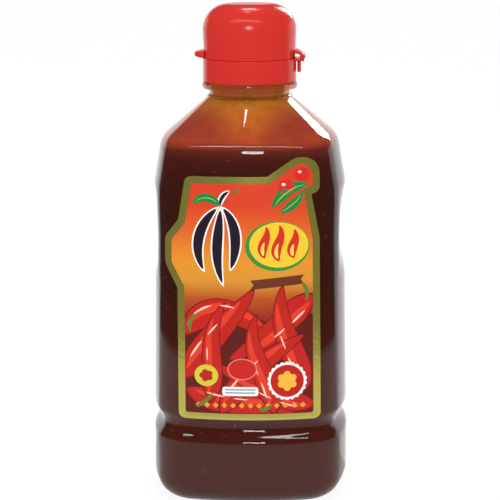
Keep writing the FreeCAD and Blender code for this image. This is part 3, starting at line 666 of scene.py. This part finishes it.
def stroke(spine, half_width, bulge, start=0.0, end=1.0, side=0.0, steps=26):
    """The outline of a stroke along a curve. Its widest place is a share, bulge, of the way along."""
    nudge, fullness, blunt_tip = 0.01, 0.6, 0.04
    left, right = [], []
    for step in range(steps + 1):
        share = step / steps
        place = start + (end - start) * share
        ahead = along(spine, place + nudge) - along(spine, place - nudge)
        across = Vector((-ahead.y, ahead.x)).normalized()
        turn = share / bulge if share < bulge else (1 - share) / (1 - bulge)
        reach = half_width * max(math.sin(math.pi / 2 * turn) ** fullness, blunt_tip)
        middle = along(spine, place) + across * side
        left.append(middle + across * reach)
        right.append(middle - across * reach)
    return left + right[::-1]


def disc(x, z, half_x, half_z, scallops=1, scallop=0.0, steps=72):
    """The outline of an oval, with or without a scalloped edge."""
    points = []
    for step in range(steps):
        turn = 2 * math.pi * step / steps
        swell = 1 + scallop * abs(math.sin(scallops * turn / 2))
        points.append(Vector((x + half_x * swell * math.cos(turn), z + half_z * swell * math.sin(turn))))
    return points


def bar(x, z, half_x, half_z, corner):
    """The outline of a bar with rounded corners."""
    return rounded([(x - half_x, z - half_z, corner), (x + half_x, z - half_z, corner),
                    (x + half_x, z + half_z, corner), (x - half_x, z + half_z, corner)])


def printed(name, colour, outlines):
    """One colour of the print: flat shapes on the label, each with the layer of ink that it lies in."""
    ink, _, shader = new_material(name)
    shader.inputs["Base Color"].default_value = paint(colour)
    laminate(shader)
    bm = bmesh.new()
    for layer, points in outlines:
        shape = patch(points, LABEL_THICKNESS + FIELD_LIFT + INK * layer)
        for axis, limit, side in ((0, PRINT_LEFT, -1), (0, PRINT_RIGHT, 1), (2, PRINT_LOW, -1)):
            normal = Vector((side * (axis == 0), 0, side * (axis == 2)))
            middle = Vector((limit * (axis == 0), 0, limit * (axis == 2))) * MM
            bmesh.ops.bisect_plane(shape, geom=shape.verts[:] + shape.edges[:] + shape.faces[:],
                                   plane_co=middle, plane_no=normal, clear_outer=True)
        add_to(bm, shape)
    finished(bm, name, ink, "filled_bottle")


PODS = [
    # half width, curve from the stalk to the tip
    (4.2, ((-22, 61), (-12, 76), (-2, 69), (9, 60))), (4.2, ((22, 75), (14, 67), (6, 59), (-6, 53))),
    (3.6, ((-21, 42), (-8, 35), (4, 39), (16, 34))), (4.3, ((-21, 46), (-15, 60), (-6, 65), (2, 77))),
    (4.0, ((20, 42), (17, 55), (9, 64), (12, 78))), (3.8, ((-9, 34), (-2, 47), (7, 54), (19, 61))),
    (3.3, ((23, 37), (11, 37), (2, 45), (-12, 51))), (3.3, ((-13, 38), (-10, 50), (-16, 60), (-8, 72))),
    (3.5, ((9, 34), (9, 46), (-2, 55), (3, 68))),
]
POD_BULGE, POD_EDGE, GLINT_LAYER = 0.25, 0.35, 30
edges, pods, shines, glints, sparks = [], [], [], [], []
for number, (half, spine) in enumerate(PODS):
    layer = 2 + 3 * number
    edges.append((layer, stroke(spine, half + POD_EDGE, POD_BULGE, -0.02, 1.02)))
    pods.append((layer + 1, stroke(spine, half, POD_BULGE)))
    shines.append((layer + 2, stroke(spine, half * 0.36, 0.4, 0.06, 0.86, half * 0.3)))
    glints.append((GLINT_LAYER, stroke(spine, half * 0.09, 0.5, 0.16, 0.34, half * 0.5)))
    sparks.append((GLINT_LAYER, stroke(spine, half * 0.07, 0.5, 0.42, 0.56, half * 0.45)))
printed("print_backdrop", (92, 26, 18), [(1, [Vector(point) for point in (
    (-21.5, 33.7), (22.5, 33.7), (22.5, 68), (16, 72), (7, 66), (-3, 70), (-12, 64), (-21.5, 68))])])
printed("print_pod_edges", (118, 20, 16), edges)
printed("print_pods", (184, 32, 24), pods)
printed("print_pod_shines", (216, 58, 38), shines)
printed("print_pod_glints", (248, 196, 176), glints + sparks)
STALKS = [
    ((-12, 41), (-14, 38), (-16, 36.5), (-18, 36)), ((20, 73), (21, 76), (20, 78), (18.5, 79.5)),
    ((-19.5, 62), (-20.5, 65), (-19.5, 67), (-17.5, 68.5)),
    ((8.5, 37), (7, 35.5), (5.5, 35), (4, 35.2)),
]
printed("print_stalks", (96, 122, 50), [(31, stroke(spine, 0.7, 0.5)) for spine in STALKS])
printed("print_sun_edge", (52, 138, 56), [(1, disc(10.3, 92.2, 10.9, 8.6))])
printed("print_sun", (232, 190, 48), [(3, disc(10.8, 92.6, 10.0, 7.8))])
FLAMES = [
    ((6, 88), (3.5, 93), (8, 94), (6.5, 99)), ((11, 87), (7.5, 92), (13.5, 94), (11, 99.5)),
    ((16, 88), (13.5, 92), (18, 93.5), (16, 98)),
]
printed("print_flames", (202, 44, 30), [(5, stroke(spine, 1.7, 0.3)) for spine in FLAMES])
printed("print_flame_hearts", (244, 208, 84), [
    (7, stroke(spine, 0.6, 0.3, 0.06, 0.5)) for spine in FLAMES])
SPRIG = [
    # half width, curve: three pods and their stem
    (1.7, ((-9, 106), (-16, 101), (-19, 92), (-15, 84))),
    (1.7, ((-9, 106), (-9, 98), (-12, 90), (-8.5, 79.5))),
    (1.7, ((-9, 106), (-3, 101), (-3, 92), (-5.5, 84.5))),
    (0.6, ((-9, 105), (-9.5, 108), (-8, 110), (-6, 111))),
]
SPRIG_EDGE = 0.55
printed("print_sprig_outline", (238, 232, 226), [
    (8, stroke(spine, half + SPRIG_EDGE, 0.5, 0.02, 1.04)) for half, spine in SPRIG])
printed("print_sprig", (34, 26, 40), [
    (10 + number, stroke(spine, half, 0.5, 0.06)) for number, (half, spine) in enumerate(SPRIG)])
printed("print_leaves", (34, 128, 56), [
    (15, stroke(((-9, 106), (-12, 109.5), (-16, 109.5), (-18.5, 106.5)), 1.5, 0.45)),
    (12, stroke(((8.5, 105.5), (12, 110.5), (16, 113.5), (20.5, 113)), 2.0, 0.45)),
    (14, stroke(((11.5, 103.5), (14.5, 105.5), (17.5, 107.5), (18.8, 110.5)), 1.6, 0.45))])
printed("print_leaf_veins", (140, 186, 92), [
    (17, stroke(((9.5, 106.3), (12, 110), (16, 112.8), (19.5, 113)), 0.22, 0.3)),
    (17, stroke(((12, 104), (14.5, 105.7), (17, 107.4), (18.4, 109.8)), 0.18, 0.3)),
    (17, stroke(((-10, 107.2), (-12.5, 109.2), (-15.5, 109.2), (-17.6, 107.2)), 0.18, 0.3))])
printed("print_fruit", (204, 38, 30), [
    (16, disc(13.2, 112.4, 2.7, 2.5)), (16, disc(18.5, 116.6, 2.4, 2.3))])
printed("print_fruit_glints", (252, 214, 200), [
    (18, disc(12.4, 113.3, 0.7, 0.5)), (18, disc(17.8, 117.4, 0.6, 0.45))])
printed("print_banner", (104, 50, 28), [(12, [Vector(point) for point in (
    (1, 77.2), (19.4, 79.0), (18.2, 80.6), (19.4, 82.2), (1, 80.4), (2.2, 78.8))])])
printed("print_rosette_edge", (246, 238, 230), [(31, disc(13.6, 45.2, 6.3, 6.3, 22, 0.08, 176))])
printed("print_rosette", (182, 28, 24), [(33, disc(13.6, 45.2, 5.7, 5.7))])
printed("print_rosette_heart", (234, 176, 60), [(35, disc(13.6, 45.2, 2.6, 2.6, 6, 0.35))])
printed("print_yellow_badge", (204, 192, 56), [(31, disc(-14.2, 47, 4.1, 3.8))])
printed("print_badge_heart", (176, 36, 26), [(33, disc(-14.2, 47, 1.9, 1.7, 5, 0.3))])
printed("print_red_badge", (190, 32, 28), [(33, disc(-1.8, 49.4, 4.7, 3.4))])
printed("print_red_badge_edge", (226, 120, 96), [(31, disc(-1.8, 49.4, 5.1, 3.8))])
printed("print_pale_bar", (238, 234, 230), [(31, bar(-2.5, 41.6, 6.2, 1.6, 0.9))])
printed("print_bar_lines", (110, 134, 176), [
    (33, bar(-2.5, height, 5.2, 0.22, 0.1)) for height in (42.2, 41.1)])
DIAMOND_HEIGHT, DIAMOND_CORNERS = 36.6, ((-1, 0), (0, -1), (1, 0), (0, 1))
printed("print_diamonds", (226, 150, 50), [
    (31, [Vector((x + across, DIAMOND_HEIGHT + up)) for across, up in DIAMOND_CORNERS])
    for x in range(-17, 20, 3)])

# Set: a pale floor in plain white surroundings, five soft lamps and the camera. Gloss mirrors white
# only from the sheet that the bottle stands on and from low down behind it, and dark from elsewhere.
FLOOR_HALF, FLOOR_TONE, FLOOR_GLOW, GLOW_SHARE = 6, (0.8, 0.8, 0.8, 1), 1.05, 0.86
SHEET_EDGE, SHEET_END, SHEET_LIGHT = 0.268, 0.298, 0.66
FILL_LIGHT, DIM_LIGHT, BEHIND_LIGHT = 0.88, 0.08, 0.92


def white_behind(tree, bearing):
    """How bright the surroundings look in gloss: white low down behind, and dark elsewhere."""
    parts = node(tree, "ShaderNodeSeparateXYZ")
    tree.links.new(bearing, parts.inputs["Vector"])
    lean = node(tree, "ShaderNodeMath", operation="MULTIPLY_ADD")
    tree.links.new(parts.outputs["X"], lean.inputs[0])
    lean.inputs[1].default_value = 0.15
    tree.links.new(parts.outputs["Y"], lean.inputs[2])
    behind = node(tree, "ShaderNodeMapRange", from_min=0.5, from_max=0.6)
    tree.links.new(lean.outputs["Value"], behind.inputs["Value"])
    low = node(tree, "ShaderNodeMapRange", from_min=0.17, from_max=0.27, to_min=BEHIND_LIGHT, to_max=0)
    tree.links.new(parts.outputs["Z"], low.inputs["Value"])
    bright = node(tree, "ShaderNodeMath", operation="MULTIPLY_ADD")
    tree.links.new(behind.outputs["Result"], bright.inputs[0])
    tree.links.new(low.outputs["Result"], bright.inputs[1])
    bright.inputs[2].default_value = DIM_LIGHT
    return bright.outputs["Value"]


def after_bounce(tree, rays):
    """1 for light that has already left a matt surface, and otherwise 0."""
    bounced = node(tree, "ShaderNodeMath", operation="MINIMUM")
    tree.links.new(rays.outputs["Diffuse Depth"], bounced.inputs[0])
    bounced.inputs[1].default_value = 1
    return bounced.outputs["Value"]


bm = bmesh.new()
bmesh.ops.create_grid(bm, x_segments=1, y_segments=1, size=FLOOR_HALF)
mesh = bpy.data.meshes.new("floor")
bm.to_mesh(mesh)
bm.free()
floor = bpy.data.objects.new("floor", mesh)
bpy.context.scene.collection.objects.link(floor)
paper, tree, shader = new_material("white_paper")
shader.inputs["Base Color"].default_value = FLOOR_TONE
shader.inputs["Roughness"].default_value = 0.9
rays = node(tree, "ShaderNodeLightPath")
place = node(tree, "ShaderNodeTexCoord")
span = node(tree, "ShaderNodeVectorMath", operation="LENGTH")
tree.links.new(place.outputs["Object"], span.inputs[0])
bearing = node(tree, "ShaderNodeVectorMath", operation="NORMALIZE")
tree.links.new(place.outputs["Object"], bearing.inputs[0])
sheet = node(tree, "ShaderNodeMapRange", from_min=SHEET_EDGE, from_max=SHEET_END, to_min=SHEET_LIGHT,
             to_max=0)
tree.links.new(span.outputs["Value"], sheet.inputs["Value"])
room = node(tree, "ShaderNodeMath", operation="MAXIMUM")
tree.links.new(sheet.outputs["Result"], room.inputs[0])
tree.links.new(white_behind(tree, bearing.outputs["Vector"]), room.inputs[1])
mirrored = node(tree, "ShaderNodeEmission")
tree.links.new(room.outputs["Value"], mirrored.inputs["Strength"])
glow = node(tree, "ShaderNodeEmission", strength=FLOOR_GLOW)
shown = node(tree, "ShaderNodeMixShader")
shown.inputs["Fac"].default_value = GLOW_SHARE
tree.links.new(shader.outputs["BSDF"], shown.inputs[1])
tree.links.new(glow.outputs["Emission"], shown.inputs[2])
straight = node(tree, "ShaderNodeMixShader")
tree.links.new(rays.outputs["Is Camera Ray"], straight.inputs["Fac"])
tree.links.new(mirrored.outputs["Emission"], straight.inputs[1])
tree.links.new(shown.outputs["Shader"], straight.inputs[2])
choice = node(tree, "ShaderNodeMixShader")
tree.links.new(after_bounce(tree, rays), choice.inputs["Fac"])
tree.links.new(straight.outputs["Shader"], choice.inputs[1])
tree.links.new(shader.outputs["BSDF"], choice.inputs[2])
tree.links.new(choice.outputs["Shader"], tree.nodes["Material Output"].inputs["Surface"])
mesh.materials.append(paper)

world = bpy.data.worlds.new("studio")
bpy.context.scene.world = world
world.use_nodes = True
tree = world.node_tree
rays = node(tree, "ShaderNodeLightPath")
place = node(tree, "ShaderNodeTexCoord")
straight = node(tree, "ShaderNodeMath", operation="MAXIMUM")
tree.links.new(rays.outputs["Is Camera Ray"], straight.inputs[0])
tree.links.new(white_behind(tree, place.outputs["Generated"]), straight.inputs[1])
total = node(tree, "ShaderNodeMix")
tree.links.new(after_bounce(tree, rays), total.inputs["Factor"])
tree.links.new(straight.outputs["Value"], total.inputs["A"])
total.inputs["B"].default_value = FILL_LIGHT
background = tree.nodes["Background"]
background.inputs["Color"].default_value = (1, 1, 1, 1)
tree.links.new(total.outputs["Result"], background.inputs["Strength"])

LAMP_AIM = Vector((0, 0, 0.09))
LAMPS = [
    # name, place, width, height, power
    ("front_lamp", (0.02, -1.15, 0.47), 0.22, 0.26, 2.8),
    ("ceiling_strip", (-0.1, -0.7, 0.94), 1.3, 0.06, 2.4),
    ("back_window", (0.41, 1.02, 0.58), 0.24, 0.46, 3.7),
    ("top_lamp", (0.0, 0.35, 1.0), 0.26, 0.08, 1.6),
    ("spot_above", (-0.06, 0.1, 1.15), 0.06, 0.1, 0.5),
]
for name, spot, width, height, power in LAMPS:
    light = bpy.data.lights.new(name, "AREA")
    light.shape = "RECTANGLE"
    light.size, light.size_y, light.energy = width, height, power
    lamp = bpy.data.objects.new(name, light)
    lamp.location = spot
    lamp.rotation_euler = (LAMP_AIM - Vector(spot)).to_track_quat("-Z", "Y").to_euler()
    bpy.context.scene.collection.objects.link(lamp)

CAMERA_AIM, CAMERA_FAR, CAMERA_PITCH, CAMERA_TURN = Vector((0, 0, 0.08456)), 0.69, 10.8, 2.03
CAMERA_ROLL, FOCAL_LENGTH, SENSOR, CLIP_END = -0.232, 139.54, 36, 50
SHIFT_X, SHIFT_Y = -0.0008, 0.001
pitch, turn = math.radians(CAMERA_PITCH), math.radians(CAMERA_TURN)
level = math.cos(pitch)
outward = Vector((level * math.sin(turn), -level * math.cos(turn), math.sin(pitch)))
lens = bpy.data.cameras.new("camera")
lens.lens, lens.sensor_width, lens.clip_end = FOCAL_LENGTH, SENSOR, CLIP_END
lens.shift_x, lens.shift_y = SHIFT_X, SHIFT_Y
camera = bpy.data.objects.new("camera", lens)
camera.location = CAMERA_AIM + CAMERA_FAR * outward
facing = (-outward).to_track_quat("-Z", "Y") @ Quaternion((0, 0, 1), math.radians(CAMERA_ROLL))
camera.rotation_euler = facing.to_euler()
bpy.context.scene.collection.objects.link(camera)
bpy.context.scene.camera = camera
bpy.context.scene.view_settings.view_transform = "Standard"

bpy.context.view_layer.update()
